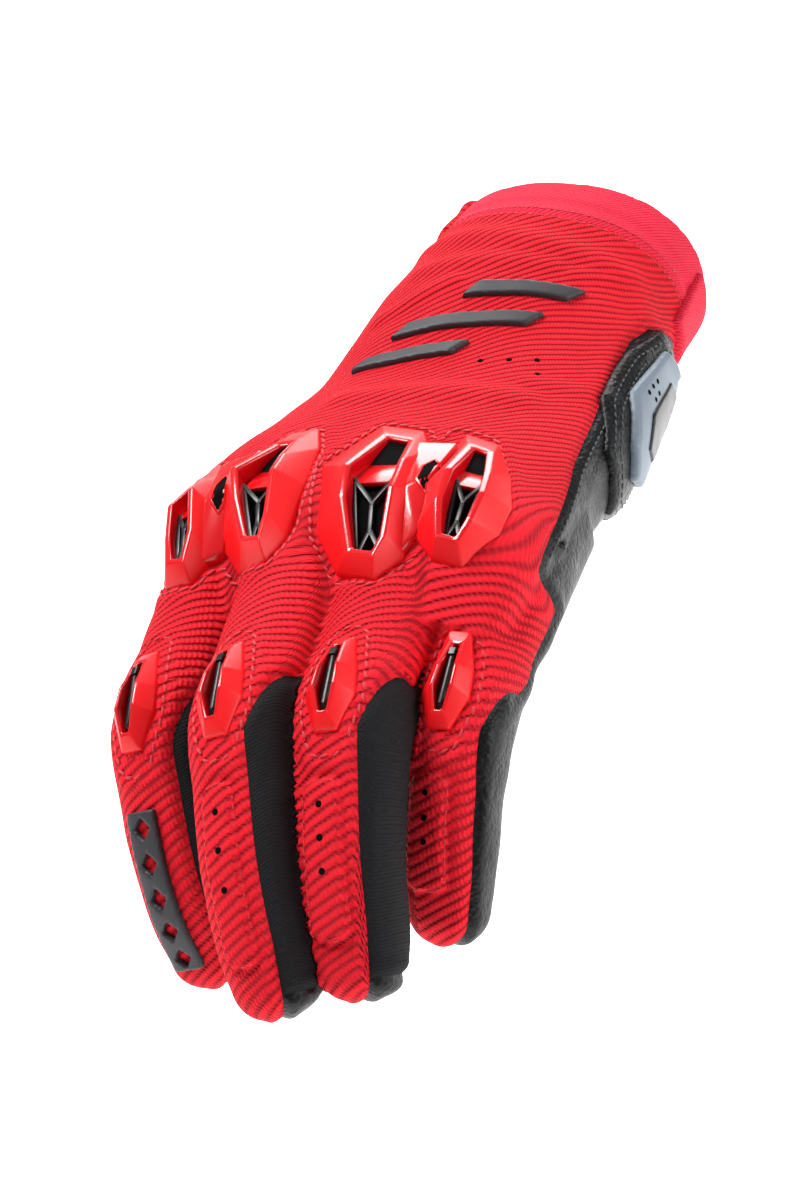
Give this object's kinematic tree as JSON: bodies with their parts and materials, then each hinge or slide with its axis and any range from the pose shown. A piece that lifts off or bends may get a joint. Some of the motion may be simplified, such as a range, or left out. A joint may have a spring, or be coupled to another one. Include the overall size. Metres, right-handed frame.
{
  "type": "motorcycle glove",
  "caption": "Short-cuff motorcycle glove for the left hand, filled as if worn, with hard knuckle guards, finger sliders, a leather palm and a stretch cuff.",
  "frame": {"origin": "centre of the cuff opening, where the wrist goes in", "axes": "+Y from the fingertips towards the cuff opening, +Z out of the back of the hand, -X the thumb side"},
  "size_m": [0.0982, 0.2394, 0.1015],
  "materials": {
    "red_cloth": "ribbed stretch cloth",
    "red_elastic": "fine knitted elastic",
    "black_leather": "grained, soft sheen",
    "black_cloth": "smooth stretch cloth",
    "red_shell": "moulded, glossy",
    "black_plastic": "moulded, satin",
    "dark_rubber": "moulded, matt",
    "grey_plastic": "moulded, matt"
  },
  "bodies": {
    "root": {"back_panel": "red_cloth", "thumb_back": "red_cloth", "pull_tab": "red_cloth", "cuff_band": "red_elastic", "wrist_strap": "red_elastic", "palm_panel": "black_leather", "heel_patch": "black_leather", "fourchette_index_middle": "black_cloth", "fourchette_middle_ring": "black_cloth", "fourchette_ring_pinky": "black_cloth", "knuckle_guard_inner": "red_shell", "knuckle_guard_outer": "red_shell", "finger_slider_index": "red_shell", "finger_slider_middle": "red_shell", "finger_slider_ring": "red_shell", "finger_slider_pinky": "red_shell", "knuckle_grille_index": "black_plastic", "knuckle_grille_middle": "black_plastic", "knuckle_grille_ring": "black_plastic", "knuckle_grille_pinky": "black_plastic", "slider_insert_index": "black_plastic", "slider_insert_middle": "black_plastic", "slider_insert_ring": "black_plastic", "slider_insert_pinky": "black_plastic", "palm_slider_insert": "black_plastic", "back_bar_1": "dark_rubber", "back_bar_2": "dark_rubber", "back_bar_3": "dark_rubber", "index_strip": "dark_rubber", "palm_slider": "grey_plastic"}
  },
  "joints": []
}
